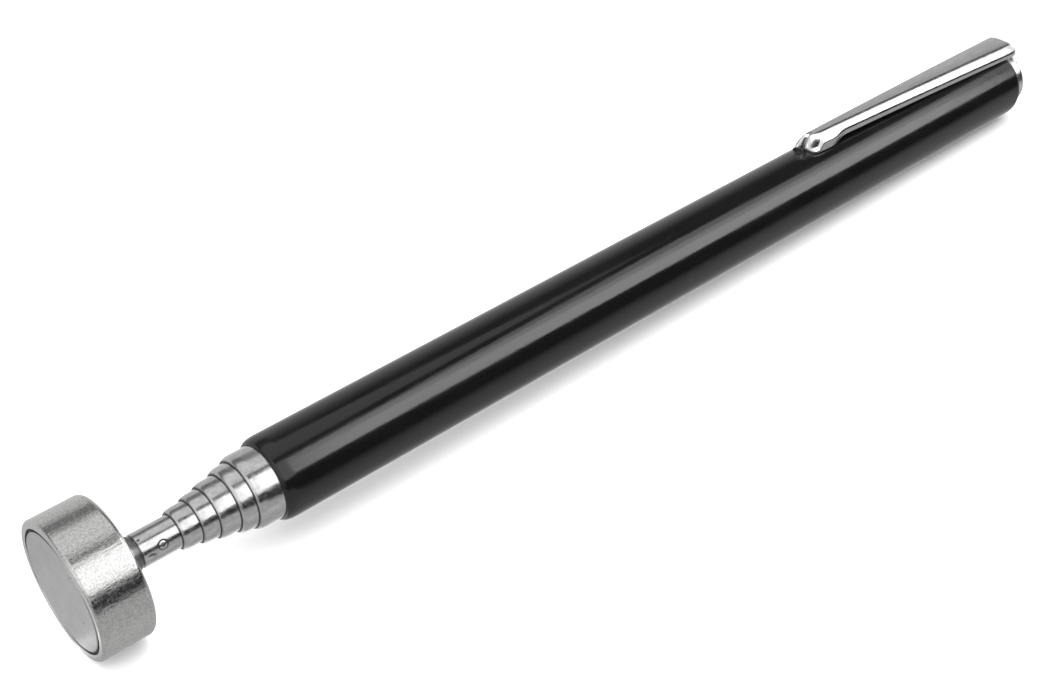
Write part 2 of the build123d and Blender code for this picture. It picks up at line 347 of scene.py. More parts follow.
def clip_chrome():
    """Bright nickel-chrome on pressed spring steel, polished round the edges and hazy on top."""
    finish = Finish("clip_chrome", Metallic=1.0)
    tone = finish.noise(0.9, detail=5, roughness=0.6, stretch=(0.35, 1, 1))
    finish.feed("Base Color", finish.darkened(
        finish.colours(tone, (0.3, 0.58, 0.58, 0.585), (0.7, 0.70, 0.70, 0.705)),
        finish.specks(0.9, 0.12, 0.08), (0.25, 0.25, 0.25)))
    haze = finish.noise(1.4, detail=5, roughness=0.7, stretch=(0.4, 1, 1))
    finish.feed("Roughness", finish.remap(haze, 0.3, 0.7, 0.14, 0.26))
    finish.bump(finish.noise(2.2, detail=4, stretch=(0.4, 1, 1)), 0.006)
    return finish.material


def plain_metal(name, dark, light, roughness):
    """A turned or drawn inner metal part, with draw lines round its noise."""
    finish = Finish(name, Metallic=1.0)
    tone = finish.noise(1.5, detail=5, roughness=0.65, stretch=(0.3, 1, 1))
    finish.feed("Base Color", finish.colours(tone, (0.3, *dark), (0.7, *light)))
    haze = finish.noise(3.0, detail=4)
    finish.feed("Roughness", finish.remap(haze, 0.3, 0.7, roughness, roughness + 0.14))
    finish.bump(finish.noise(7.0, detail=3, stretch=(2.0, 0.6, 0.6)), 0.004)
    return finish.material


def epoxy():
    """Cured grey-black epoxy in the narrow gap round the magnet."""
    finish = Finish("epoxy", IOR=1.55)
    finish.feed("Base Color", finish.colours(finish.noise(2.0, detail=4), (0.3, 0.012), (0.7, 0.035)))
    finish.feed("Roughness", finish.remap(finish.noise(3.0), 0.3, 0.7, 0.35, 0.6))
    finish.bump(finish.noise(4.0, detail=4), 0.02)
    return finish.material


def plug_plastic():
    """Dull black moulded plastic."""
    finish = Finish("plug_plastic", IOR=1.48)
    finish.feed("Base Color", finish.colours(finish.noise(1.0, detail=4), (0.3, 0.015), (0.7, 0.03)))
    finish.feed("Roughness", finish.remap(finish.noise(4.0), 0.3, 0.7, 0.45, 0.6))
    finish.bump(finish.noise(8.0, detail=3), 0.01)
    return finish.material


# ---------------------------------------------------------------- turned pieces
LIP = 0.08                      # thickness of a rolled-in lip at its edge
NECK = 1.4                      # length of a tube's rolled-in front, and of the barrel's
BARREL_NECK = 1.9
RUNNING_GAP = 0.03              # between a lip and the tube that slides in it
TUBE_WALL = 0.25
BARREL_WALL = 0.45
SHADE_REACH = 0.24               # how far the painted shade reaches up a lip
FLARE = 0.8                     # length of a tube's rolled-out rear end
FLARE_FOOT = 0.05               # fillets at the foot and at the rear edge of that end
FLARE_EDGE = 0.08
TUBES = [f"tube_{number}" for number in range(1, 7)]


def necked_front(x_front, neck, outer, wall, lip_inner):
    """Outline of a rolled-in front end, from the bore round the lip to the outside."""
    lip_back = x_front + 2 * LIP
    inside = bezier((x_front + neck, outer - wall), (lip_back, outer - wall), (lip_back, lip_inner))
    outside = bezier((x_front, lip_inner + LIP), (x_front, outer), (x_front + neck, outer))
    return [*inside, (x_front, lip_inner), *outside]


def crevice_shade(x_front, lip_inner):
    """Painted shade where a lip meets the tube inside it, thinning out over the lip's round front."""
    def darkening(x, y, z):
        if x >= x_front + NECK:
            return 0.0
        return smooth(1 - (hypot(y, z) - lip_inner - LIP) / SHADE_REACH)
    return darkening


def flared_rear(x_rear, outer, flare, bore):
    """Outline of a tube's rolled-out rear end, from the outside to the bore."""
    return rounded((x_rear - FLARE, outer), (x_rear - FLARE, flare, FLARE_FOOT),
                   (x_rear, flare, FLARE_EDGE), (x_rear, bore))


def tube_piece(index, material):
    """One sliding tube: rolled in at the front, rolled out at the rear."""
    x_front, x_rear, flare = span(TUBES[index])
    outer = flare_core(index)
    bore = outer - TUBE_WALL
    lip_inner = flare_core(index + 1) + RUNNING_GAP
    points = necked_front(x_front, NECK, outer, TUBE_WALL, lip_inner)
    points += flared_rear(x_rear, outer, flare, bore)
    # painted shade in the crevice where the lip meets the next tube
    mesh = with_dirt_and_shade(turned_mesh(TUBES[index], points), crevice_shade(x_front, lip_inner))
    return finished(f"chromed_tube_{index + 1}", mesh, material)


def flare_core(index):
    """Outer radius of a tube's straight run: that of the bore of the stop bush pressed on it."""
    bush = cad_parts[f"stop_bush_{index + 1}"]
    return min(hypot(vertex.co.y, vertex.co.z) for vertex in bush.data.vertices) / MM


CRIMP_X = 12.0                  # crimp punches in the thinnest tube, behind its front edge
CRIMP_TURN = radians(-72.5)
CRIMP_RADIUS = 0.62
CRIMP_DEPTH = 0.035
GROOVE_RING = 0.85              # a punch is a ring round a dot, in punch radii
GROOVE_HALF = 0.28
DOT_REACH = 0.3
FILM_RING = 0.88                # the dark film in it, in punch radii
FILM_HALF = 0.26
MARKED_RUN = 1.2                # length of fine mesh behind the punches
MARKED_STEP = 0.05
# Slips of the crimping tool: place along X, turn in degrees, half length, half width, depth.
TOOL_MARKS = [(10.35, -83, 0.55, 0.13, 0.05),
              (10.75, -90, 0.40, 0.11, 0.04),
              (9.75, -22, 0.22, 0.20, 0.07)]


def across(angle, turn, radius):
    """Distance round the tube from a line at turn."""
    return ((angle - turn + pi) % (2 * pi) - pi) * radius


def crimp_reach(x, angle, radius):
    """Distance from the nearest crimp punch, in punch radii."""
    turns = [CRIMP_TURN + third * 2 * pi / 3 for third in range(3)]
    return min(hypot(x - CRIMP_X, across(angle, turn, radius)) for turn in turns) / CRIMP_RADIUS


def tool_marks(x, angle, radius):
    """How deep the nearest slip of the crimping tool is here, in millimetres."""
    deepest = 0.0
    for mark_x, turn, length, width, depth in TOOL_MARKS:
        along = (x - mark_x) / length
        aside = across(angle, radians(turn), radius) / width
        deepest = max(deepest, depth * (1 - along ** 2 - aside ** 2))
    return deepest


def crimped(x, angle, radius, outer):
    """Radius of the thinnest tube's wall, with its three ring-shaped crimp punches and tool marks."""
    if radius < outer - 0.01:
        return radius
    reach = crimp_reach(x, angle, radius)
    groove = max(0.0, 1 - ((reach - GROOVE_RING) / GROOVE_HALF) ** 2)
    dot = max(0.0, 1 - (reach / DOT_REACH) ** 2)
    return radius - CRIMP_DEPTH * (groove + dot) - tool_marks(x, angle, radius)


def crimp_film(x, y, z):
    """Dark film in the crimp punches and in the tool marks."""
    angle, radius = atan2(y, z), hypot(y, z)
    reach = crimp_reach(x, angle, radius)
    ring = 0.6 * smooth(1 - abs(reach - FILM_RING) / FILM_HALF)
    dot = 0.8 * smooth(1 - reach / FILM_HALF)
    marks = min(0.7, 20 * tool_marks(x, angle, radius))
    return max(ring, dot, marks)


def inner_tube_piece(material):
    """The thinnest tube, crimped on the head's stud behind its plain front edge."""
    x_front, x_rear, flare = span(TUBES[5])
    outer = flare_core(5)
    bore = outer - TUBE_WALL
    marked_end = CRIMP_X + MARKED_RUN
    steps = int((marked_end - x_front) / MARKED_STEP)
    front = fillet_points((x_front, bore), (x_front, outer), (marked_end, outer), 0.07)
    marked = [(x_front + (marked_end - x_front) * step / steps, outer) for step in range(3, steps + 1)]
    points = [(x_front, bore), *front, *marked, *flared_rear(x_rear, outer, flare, bore)]

    def shape(x, angle, radius):
        return crimped(x, angle, radius, outer) if x < marked_end else radius

    mesh = turned_mesh("tube_6", points, segments=256, shape=shape)
    return finished("chromed_tube_6", with_dirt_and_shade(mesh, crimp_film), material)


REAR_ROUND = 1.0                # the barrel's rolled rear edge and the hole that it leaves
REAR_HOLE = 3.9
RIVET_HOLE = 1.2                # radius of the hole in the clip's eye and of the rivet's shank
STUD_HOLE = 1.5                 # radius of the hole in the cup and of the stud's shank
STUD_FLANGE = 3.0
COLLAR = 2.2                    # radius of the stud's collar, and the groove between it and the tube
COLLAR_GAP = 0.35


def barrel_piece(material):
    """The lacquered barrel: rolled in at the front, turned in over its plug at the rear."""
    x_front, x_rear, outer = span("barrel_tube")
    bore = outer - BARREL_WALL
    lip_inner = flare_core(0) + RUNNING_GAP
    points = necked_front(x_front, BARREL_NECK, outer, BARREL_WALL, lip_inner)
    neighbours = ((x_front + BARREL_NECK, bore), (x_front + BARREL_NECK, outer))
    rear = rounded((x_rear, outer, REAR_ROUND), (x_rear, REAR_HOLE), (x_rear - BARREL_WALL, REAR_HOLE),
                   (x_rear - BARREL_WALL, bore, REAR_ROUND - BARREL_WALL), *neighbours)
    points += rear[:-len(neighbours)]
    return finished("lacquered_barrel", turned_mesh("barrel", points, FINE), material)


CUP_BACK_ROUND = 0.6


def cup_piece(material):
    """The steel pole cup: rounded rim, deep pocket, softly broken back edge."""
    x_front, x_rear, outer = span("head_cup")
    pocket = span("magnet_glue")[2]
    floor = span("magnet_glue")[1]
    points = rounded((x_front, pocket, 0.12), (x_front, outer, 0.45), (x_rear, outer, CUP_BACK_ROUND),
                     (x_rear, STUD_HOLE, 0.1), (floor, STUD_HOLE), (floor, pocket))
    return finished("nickel_cup", turned_mesh("cup", points, FINE), material)


def magnet_piece(material):
    """The disc magnet, with a small round edge to its working face."""
    x_front, x_rear, outer = span("magnet_disc")
    points = rounded((x_front, 0), (x_front, outer, 0.12), (x_rear, outer, 0.12), (x_rear, 0))
    return finished("magnet", turned_mesh("magnet", points, FINE, closed=False), material)


def glue_piece(material):
    """The epoxy ring and bed, with a dished meniscus between magnet and cup."""
    x_front, x_rear, outer = span("magnet_glue")
    magnet_rear, magnet = span("magnet_disc")[1:]
    flange_x = span("head_stud")[0]
    middle = (magnet + outer) / 2
    meniscus = bezier((x_front - 0.08, magnet), (x_front + 0.22, middle), (x_front - 0.08, outer), 8)
    points = [*meniscus, (x_rear, outer), (x_rear, STUD_FLANGE), (flange_x, STUD_FLANGE), (flange_x, 0),
              (magnet_rear, 0), (magnet_rear, magnet)]
    return finished("epoxy_ring", turned_mesh("glue", points, FINE), material)


def stud_piece(material):
    """The stud riveted through the cup: collar, groove and the spigot inside the thinnest tube."""
    x_front, x_rear, flange = span("head_stud")
    pocket_floor = span("magnet_glue")[1]
    cup_rear = span("head_cup")[1]
    tube_front = span(TUBES[5])[0]
    tube_bore = flare_core(5) - TUBE_WALL
    collar_end = tube_front - COLLAR_GAP
    points = rounded((x_front, 0), (x_front, flange, 0.1), (pocket_floor, flange),
                     (pocket_floor, STUD_HOLE), (cup_rear, STUD_HOLE), (cup_rear, COLLAR, 0.12),
                     (collar_end, COLLAR, 0.16), (collar_end + 0.05, tube_bore),
                     (x_rear, tube_bore, 0.15), (x_rear, 0))
    return finished("head_stud_turned", turned_mesh("stud", points, closed=False), material)


def rivet_piece(material):
    """The clip's domed rivet."""
    x_low, x_high, rim = span("clip_rivet")
    seat = span("clip_eye")[1]
    dome = bezier((seat, rim), (x_high, 0.72 * rim), (x_high, 0), 16)
    points = [(x_low, 0), (x_low, RIVET_HOLE), (seat, RIVET_HOLE), *dome]
    return finished("rivet_dome", turned_mesh("rivet", points, closed=False), material)


# ---------------------------------------------------------------- pocket clip
SHEET = 0.45                    # thickness of the clip's sheet metal
FLANGE = 1.78                   # depth of the arm's channel, outside
TIP_HALF = 1.36                 # half of the arm's width at its tip
ARM_BOW = 0.10                  # how far the arm bows up between its ends
CROWN = 0.020                   # how fast the top falls away from the middle, per mm
SHOULDER_TIP = 1.02             # rounding along the arm's long edges, at the tip and at the root
SHOULDER_ROOT = 1.28
BEVEL = 1.35                    # how flat that rounding is: 1 is a quarter circle, 2 a straight bevel
TIP_BEVEL = 1.5                 # the same at the tip
WALL_LEVELS = 14                # rows of faces up the flat of a side
# The root end.
ROOT_DROP = 1.32                # how much lower the top is at the root than at the tip
ROOT_BEND = 1.3                 # height and length of the rounding over the end plate
BEND_RUN = 1.8
BEND_FADE = 2.0                 # length over which the shoulder's height turns into the bend's
ROOT_CORNER = 1.9               # rounding of the end plate's upright corners
ROOT_SKEW = 0.12                # the root is cut askew: its far side lies further back, per mm
ROOT_SKEW_RUN = 6.0
# The tip: two folded lobes that meet in a dished seam, under a rounded nose.
LOBE = 1.05                     # depth of the lobes
LOBE_SQUARE = 0.45              # how square they are in plan: 1 is round, 0 is square
LOBE_SIDE = 0.8                 # how evenly their front spreads to the sides: 1 is even
TIP_DOME = 1.0                  # how far the top's front edge lies behind the tip
TIP_HOLLOW = 0.14               # how much that edge is hollowed at the seam
TIP_ROUND = 2.05                # height of the rounded nose
NOSE_RUN = 1.7                  # length over which the nose fades into the plain shoulder
NOSE_FADE = 1.5                 # how fast it fades: 1 is evenly
DOME_RUN = 3.0                  # length over which the dome fades into the plain shoulder
SIDE_SPREAD = 1.35              # how closely the sides' stations crowd at the tip: 1 is even
TIP_SKEW = 0.55                 # the tip is cut askew: its near side lies further back, per mm
SKEW_EDGE = 1.1
TIP_LEAN = 0.3                  # the lobes lean back downward, per mm below LEAN_TOP
LEAN_TOP = 6.1
TIP_SHIFT_START = 0.8           # both fade out between these distances behind the tip
TIP_SHIFT_END = 4.2
DISH = 0.45                     # depth, half width and reach of the dish where the lobes meet
DISH_HALF = 0.5
DISH_START = 0.8
DISH_END = 2.2
# The leaf-shaped sides behind the tip: they hang lower and step out below the shoulder.
LEAF_FLOOR = 5.38               # height of their lower edge
LEAF_END = 126.2                # they run out between these places along X
LEAF_FADE = 129.6
LEAF_HALF = 1.2                 # the step grows to its full size at this distance from the middle
LEAF_STEP = 0.38                # how far they step out, over what height, and how far above the
STEP_HEIGHT = 0.55              # shoulder's foot the step starts
RIDGE_RISE = 0.25
# The neck and the eye.
NECK_LOW = 3.1                  # lower and upper end of the neck plate
NECK_HIGH = 5.4
NECK_HALF = 2.7                 # half of its width at its lower end, and how much narrower it gets
NECK_TAPER = 1.65
TAPER_HEIGHT = 1.9
NECK_STEPS = 24
EYE_RADIUS = 4.5
EYE_ROUND = 0.9
# Steps of the arm's mesh.
RING_STEPS = 8                  # round one half of either end of the arm
CORNER_STEPS = 5
SIDE_STEPS = 60
SHOULDER_STEPS = 10


class Arm:
    """The clip's arm: a tapering channel with folded lobes at its tip and a closed root."""

    def __init__(self):
        low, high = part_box("clip_arm")
        self.tip = low.x / MM
        self.end = high.x / MM
        self.root_half = high.y / MM
        self.tip_top = high.z / MM
        self.root_top = self.tip_top - ROOT_DROP

    def share(self, x):
        return (x - self.tip) / (self.end - self.tip)

    def top(self, x):
        share = self.share(x)
        bow = 4 * ARM_BOW * share * (1 - share)
        return self.tip_top + (self.root_top - self.tip_top) * share + bow

    def half(self, x):
        return TIP_HALF + (self.root_half - TIP_HALF) * self.share(x)

    def shoulder(self, x):
        return SHOULDER_TIP + (SHOULDER_ROOT - SHOULDER_TIP) * self.share(x)

    def nose(self, x):
        """1 at the rounded tip, fading to 0 over the run behind it."""
        return min(1.0, max(0.0, 1 - (x - self.tip - LOBE) / NOSE_RUN)) ** NOSE_FADE

    def drop(self, x):
        """Height of the shoulder: taller at the rounded tip, the end bend's own at the root."""
        plain = self.shoulder(x)
        bend = smooth((x - self.end) / BEND_FADE + 1)
        return plain + (ROOT_BEND - plain) * bend + (TIP_ROUND - plain) * self.nose(x)

    def floor(self, x):
        fade = smooth((x - LEAF_END) / (LEAF_FADE - LEAF_END))
        return LEAF_FLOOR + (self.top(x) - FLANGE - LEAF_FLOOR) * fade

    def stations(self):
        """(outer x, outer y, inner x, inner y) round half of the arm, from the tip's seam on."""
        corner_x = self.end - ROOT_CORNER
        corner_y = self.half(corner_x) - ROOT_CORNER
        shoulder = self.shoulder(corner_x)
        inner_half = self.half(corner_x) - shoulder
        stations = []
        end_ring = []
        for step in range(1, CORNER_STEPS + 1):
            turn = radians(90 * step / CORNER_STEPS)
            outer = (corner_x + ROOT_CORNER * sin(turn), corner_y + ROOT_CORNER * cos(turn))
            inner = (corner_x + (ROOT_CORNER - BEND_RUN) * sin(turn),
                     corner_y + (ROOT_CORNER - shoulder) * cos(turn))
            end_ring.append((*outer, *inner))
        for step in range(1, RING_STEPS - CORNER_STEPS + 1):
            y = corner_y * (1 - step / (RING_STEPS - CORNER_STEPS))
            end_ring.append((self.end, y, self.end - BEND_RUN, y))
        self.across = [1.0] + [inner_y / inner_half for _, _, _, inner_y in end_ring]
        lobe_x = self.tip + LOBE
        for step in range(RING_STEPS):
            turn = radians(180 * step / RING_STEPS - 90)
            share = self.across[RING_STEPS - step]
            aside = copysign(abs(sin(turn)) ** LOBE_SIDE, turn)
            stations.append((lobe_x - LOBE * cos(turn) ** LOBE_SQUARE, TIP_HALF / 2 * (1 + aside),
                             self.tip + TIP_DOME - TIP_HOLLOW * (1 - share * share),
                             (TIP_HALF - SHOULDER_TIP) * share))
        for step in range(SIDE_STEPS + 1):
            share = step / SIDE_STEPS
            x = lobe_x + (corner_x - lobe_x) * share ** SIDE_SPREAD
            fade = max(0.0, 1 - (x - lobe_x) / DOME_RUN)
            inner_x = x + (TIP_DOME - LOBE) * fade * fade
            stations.append((x, self.half(x), inner_x, self.half(inner_x) - self.shoulder(inner_x)))
        return stations + end_ring

    def column(self, station):
        """Points of one upright profile, from the channel's lower edge over the shoulder to the top."""
        outer_x, outer_y, inner_x, inner_y = station
        floor = self.floor(outer_x)
        shoulder = self.drop(outer_x)
        bevel = BEVEL + (TIP_BEVEL - BEVEL) * self.nose(outer_x)
        top = self.top(inner_x)
        straight = top - shoulder
        points = []
        for level in range(WALL_LEVELS):
            points.append((outer_x, outer_y, floor + (straight - floor) * level / WALL_LEVELS))
        for step in range(SHOULDER_STEPS + 1):
            turn = radians(90 * step / SHOULDER_STEPS)
            out, up = abs(cos(turn)) ** bevel, sin(turn) ** bevel
            points.append((inner_x + (outer_x - inner_x) * out, inner_y + (outer_y - inner_y) * out,
                           straight + shoulder * up))
        return points

    def shaped(self, x, y, z):
        """A point of the plain arm moved into the crowned top and the skewed, dished tip."""
        edge = self.half(x) - self.shoulder(x)
        z += CROWN * (edge * edge - y * y) * smooth((z - self.top(x) + FLANGE) / FLANGE)
        behind = x - self.tip
        dished = smooth((DISH_END - behind) / (DISH_END - DISH_START))
        z -= DISH * max(0.0, 1 - abs(y) / DISH_HALF) ** 2 * dished
        tip = smooth((TIP_SHIFT_END - behind) / (TIP_SHIFT_END - TIP_SHIFT_START))
        root = smooth((x - self.end) / ROOT_SKEW_RUN + 1)
        moved = x + tip * (TIP_SKEW * (SKEW_EDGE - y) + TIP_LEAN * max(0.0, LEAN_TOP - z))
        moved += root * ROOT_SKEW * (y + self.root_half)
        ridge = self.top(x) - self.drop(x) + RIDGE_RISE
        leaf = smooth(abs(y) / LEAF_HALF) * smooth((LEAF_FADE - x) / (LEAF_FADE - LEAF_END))
        return moved, y + copysign(leaf * LEAF_STEP * smooth((ridge - z) / STEP_HEIGHT), y), z

    def skin(self):
        """Vertices and faces of the arm's outer skin, open underneath."""
        stations = self.stations()
        half_loop = len(stations) - 1
        right = [self.column(station) for station in stations]
        left = [[(x, -y, z) for x, y, z in column] for column in reversed(right[1:-1])]
        columns = right + left
        levels = len(right[0])
        vertices = [point for column in columns for point in column]
        faces = []
        for index in range(len(columns)):
            after = (index + 1) % len(columns)
            for level in range(levels - 1):
                faces.append((index * levels + level, after * levels + level,
                              after * levels + level + 1, index * levels + level + 1))
        ring = [index * levels + levels - 1 for index in range(len(columns))]
        fractions = self.across + [-share for share in reversed(self.across[:-1])]
        rows = [[ring[RING_STEPS - column] for column in range(2 * RING_STEPS + 1)]]
        for side in range(RING_STEPS, RING_STEPS + SIDE_STEPS + 1):
            x, y, z = vertices[ring[side]]
            row = [ring[side]]
            for share in fractions[1:-1]:
                row.append(len(vertices))
                vertices.append((x, y * share, z))
            rows.append(row + [ring[-side]])
        rows.append([ring[half_loop - RING_STEPS + column] for column in range(2 * RING_STEPS + 1)])
        for row, following in zip(rows, rows[1:]):
            for column in range(2 * RING_STEPS):
                corners = (row[column], row[column + 1], following[column + 1], following[column])
                distinct = list(dict.fromkeys(corners))
                faces.append(distinct)
        return [self.shaped(*vertex) for vertex in vertices], faces


def neck_mesh(arm):
    """The plate that joins the arm's end plate to the eye, widening downward.

    It stands a hair inside the end plate's two faces, so that the union never meets equal planes.
    """
    back = arm.end - SHEET + 0.01
    front = arm.end - 0.005
    vertices, faces = [], []
    for step in range(NECK_STEPS + 1):
        z = NECK_LOW + (NECK_HIGH - NECK_LOW) * step / NECK_STEPS
        half = NECK_HALF - NECK_TAPER * smooth((z - NECK_LOW) / TAPER_HEIGHT)
        for x in (back, front):
            for y in (-half, half):
                vertices.append((x, y, z))
    for step in range(NECK_STEPS):
        base = 4 * step
        for first, second in ((0, 1), (1, 3), (3, 2), (2, 0)):
            faces.append((base + first, base + second, base + 4 + second, base + 4 + first))
    last = 4 * NECK_STEPS
    faces += [(0, 1, 3, 2), (last, last + 1, last + 3, last + 2)]
    return mesh_from("neck", vertices, faces)


def eye_mesh():
    """The drawn cap over the barrel's end."""
    x_front, x_rear = span("clip_eye")[:2]
    inner = EYE_RADIUS - SHEET
    points = rounded((x_front, inner), (x_front, EYE_RADIUS, 0.06), (x_rear, EYE_RADIUS, EYE_ROUND),
                     (x_rear, RIVET_HOLE), (x_rear - SHEET, RIVET_HOLE),
                     (x_rear - SHEET, inner, EYE_ROUND - SHEET))
    return turned_mesh("eye", points, FINE)


def applied(piece):
    """The piece's mesh with its modifiers applied."""
    depsgraph = bpy.context.evaluated_depsgraph_get()
    mesh = bpy.data.meshes.new_from_object(piece.evaluated_get(depsgraph))
    piece.modifiers.clear()
    piece.data = mesh
    return piece


def clip_piece(material):
    """Arm, neck and eye in one sheet-metal mesh.

    The neck and the eye are joined on one at a time: both unions in one pass lose the eye.
    """
    arm = Arm()
    vertices, faces = arm.skin()
    shell = finished("pocket_clip", mesh_from("arm", vertices, faces), material)
    wall = shell.modifiers.new("wall", "SOLIDIFY")
    wall.thickness = SHEET * MM
    wall.offset = -1
    wall.use_even_offset = False
    applied(shell)
    edge = shell.modifiers.new("edge", "BEVEL")
    edge.width = 0.05 * MM
    edge.segments = 2
    edge.limit_method = "ANGLE"
    edge.angle_limit = radians(70)
    applied(shell)
    for mesh in (neck_mesh(arm), eye_mesh()):
        other = finished("clip_part", mesh, material)
        union = shell.modifiers.new("union", "BOOLEAN")
        union.operation = "UNION"
        union.solver = "EXACT"
        union.object = other
        applied(shell)
        bpy.data.objects.remove(other)
    shell.data.shade_smooth()
    shell.data.set_sharp_from_angle(angle=SHARP_ANGLE)
    return shell


# ---------------------------------------------------------------- the object
def placed(piece, body, slot, *nodes):
    """Gives a piece its body and hides the CAD nodes that it stands for. The slot argument is not used.
    """
    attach(piece, body)
    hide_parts(*nodes)


lacquer_finish = lacquer()
chrome_finish = tube_chrome()
cup_finish = cup_nickel()
magnet_finish = magnet_nickel()
clip_finish = clip_chrome()
stud_finish = plain_metal("stud_steel", (0.14, 0.14, 0.14), (0.27, 0.27, 0.265), 0.32)
epoxy_finish = epoxy()
brass_finish = plain_metal("bush_brass", (0.52, 0.38, 0.16), (0.68, 0.52, 0.25), 0.28)
bronze_finish = plain_metal("spring_bronze", (0.46, 0.29, 0.16), (0.60, 0.40, 0.23), 0.30)
plastic_finish = plug_plastic()

placed(barrel_piece(lacquer_finish), "barrel", "barrel_lacquer", "barrel_tube")
for number in range(5):
    placed(tube_piece(number, chrome_finish), f"section_{number + 1}", "tube_chrome", TUBES[number])
placed(inner_tube_piece(chrome_finish), "head_section", "tube_chrome", "tube_6")
placed(cup_piece(cup_finish), "head_section", "cup_nickel", "head_cup")
placed(magnet_piece(magnet_finish), "head_section", "magnet_nickel", "magnet_disc")
placed(glue_piece(epoxy_finish), "head_section", "epoxy", "magnet_glue")
placed(stud_piece(stud_finish), "head_section", "stud_steel", "head_stud")
placed(rivet_piece(clip_finish), "barrel", "clip_chrome", "clip_rivet")

clip = clip_piece(clip_finish)
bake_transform(clip)
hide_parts("clip_arm", "clip_eye")

INNER_FINISHES = {"stop_bush": brass_finish, "friction_spring": bronze_finish,
                  "end_plug": plastic_finish}
for name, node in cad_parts.items():
    for prefix, finish in INNER_FINISHES.items():
        if name.startswith(prefix):
            node.data.materials.clear()
            node.data.materials.append(finish)


# ---------------------------------------------------------------- floor, light tent and light
FLOOR_REACH = 6.0
FLOOR_LEVEL_GAP = 0.0002        # the tent's and the glowing floor sheets' height above the floor


def floor_frame():
    """The plane that the tool rests on: under the head's back rim and the barrel's rear end."""
    head_low, head_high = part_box("head_cup")
    barrel_low, barrel_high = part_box("barrel_tube")
    head_foot = Vector((head_high.x - CUP_BACK_ROUND * MM, 0, head_low.z))
    barrel_foot = Vector((barrel_high.x - REAR_ROUND * MM, 0, barrel_low.z))
    rise = barrel_foot - head_foot
    tilt = Matrix.Rotation(-atan2(rise.z, rise.x), 4, "Y")
    return Matrix.Translation(head_foot) @ tilt


def stage_object(name, vertices, faces, material, place):
    """A piece of the stage, which isn't part of the tool."""
    mesh = bpy.data.meshes.new(name)
    mesh.from_pydata(vertices, [], faces)
    mesh.materials.append(material)
    stage_piece = bpy.data.objects.new(name, mesh)
    bpy.context.scene.collection.objects.link(stage_piece)
    stage_piece.matrix_world = place
    return stage_piece


def floor_material():
    """Matt white paper."""
    material = bpy.data.materials.new("floor_paper")
    material.use_nodes = True
    shader = material.node_tree.nodes["Principled BSDF"]
    shader.inputs["Base Color"].default_value = (0.95, 0.95, 0.95, 1)
    shader.inputs["Roughness"].default_value = 0.9
    shader.inputs["Specular IOR Level"].default_value = 0.1
    return material


# Brightness of the light tent by angle round the tool: 0 is level on the camera's side, 90 overhead.
TENT = [(-180, 0.72), (-175, 0.74), (-168, 1.05), (-163, 1.30), (-155, 0.74), (-106, 0.72),
        (-98, 1.30), (-90, 1.20), (-79, 0.75), (-68, 0.55), (-50, 0.50), (-37, 0.60),
        (-27, 0.60), (-22, 0.48), (-17, 0.28), (-13, 0.03), (22, 0.03), (84, 0.12),
        (122, 0.12), (130, 0.30), (140, 0.48), (152, 0.66), (176, 0.72)]
TENT_PEAK = 6.0                 # strength of the tent's glow at full white
TENT_RADIUS = 0.5
TENT_LENGTH = 3.2
TENT_PANELS = 48
AXIS_HEIGHT = 7.5 * MM          # the tool's axis above the floor, on average
# Cards hung just inside the tent: corners as (place along X in metres, angle in degrees), strength.
CARD_RADIUS = 0.45
CARDS = {"soft_box_low": ([(0.188, 21), (0.66, 21), (0.66, 50), (0.188, 50)], 4.8),
         "soft_box_middle": ([(0.188, 50), (0.66, 50), (0.66, 63.4), (0.188, 62)], 3.4),
         "soft_box_far": ([(0.66, 21), (1.6, 21), (1.6, 80), (0.8, 80), (0.66, 63.4)], 1.15),
         "soft_box_high": ([(0.2, 62.8), (1.6, 66), (1.6, 68), (0.7, 70), (0.42, 78)], 2.0),
         "soft_box_end": ([(-0.12, 16.5), (0.188, 16.5), (0.188, 64), (-0.12, 64)], 1.62),
         "white_card": ([(-1.6, 77), (0.2, 77), (0.42, 92), (0.22, 114), (0.17, 124), (-1.6, 124)],
                        0.90),
         "grey_card": ([(-1.6, 131), (0.19, 131), (0.19, 148), (-1.6, 148)], 0.20),
         "side_cloth_low": ([(-1.6, 0), (-0.12, 0), (-0.12, 21), (-1.6, 21)], 0.36),
         "side_cloth_far": ([(-1.6, -8), (-0.3, -8), (-0.3, 21), (-1.6, 21)], 1.0),
         "side_cloth_high": ([(-1.6, 21), (-0.12, 21), (-0.12, 76), (-1.6, 76)], 1.2)}
# Glowing sheets on the floor beside the head, seen only in reflections, painted light standing in for
# the lit paper floor: near, far, left and right edges in metres, strength.
FLOOR_GLOW_SHEETS = {"floor_glow_before": (-0.058, -0.014, -0.060, 0.030, 0.55),
          "floor_glow_behind": (0.016, 0.060, -0.060, 0.012, 0.66)}


def glow_material(name, strength):
    """An emission material, with the parts that the tent's ramp is wired to."""
    material = bpy.data.materials.new(name)
    material.use_nodes = True
    nodes, links = material.node_tree.nodes, material.node_tree.links
    nodes.clear()
    glow = nodes.new("ShaderNodeEmission")
    glow.inputs["Strength"].default_value = strength
    output = nodes.new("ShaderNodeOutputMaterial")
    links.new(glow.outputs["Emission"], output.inputs["Surface"])
    material.cycles.emission_sampling = "NONE"
    return material, nodes, links, glow


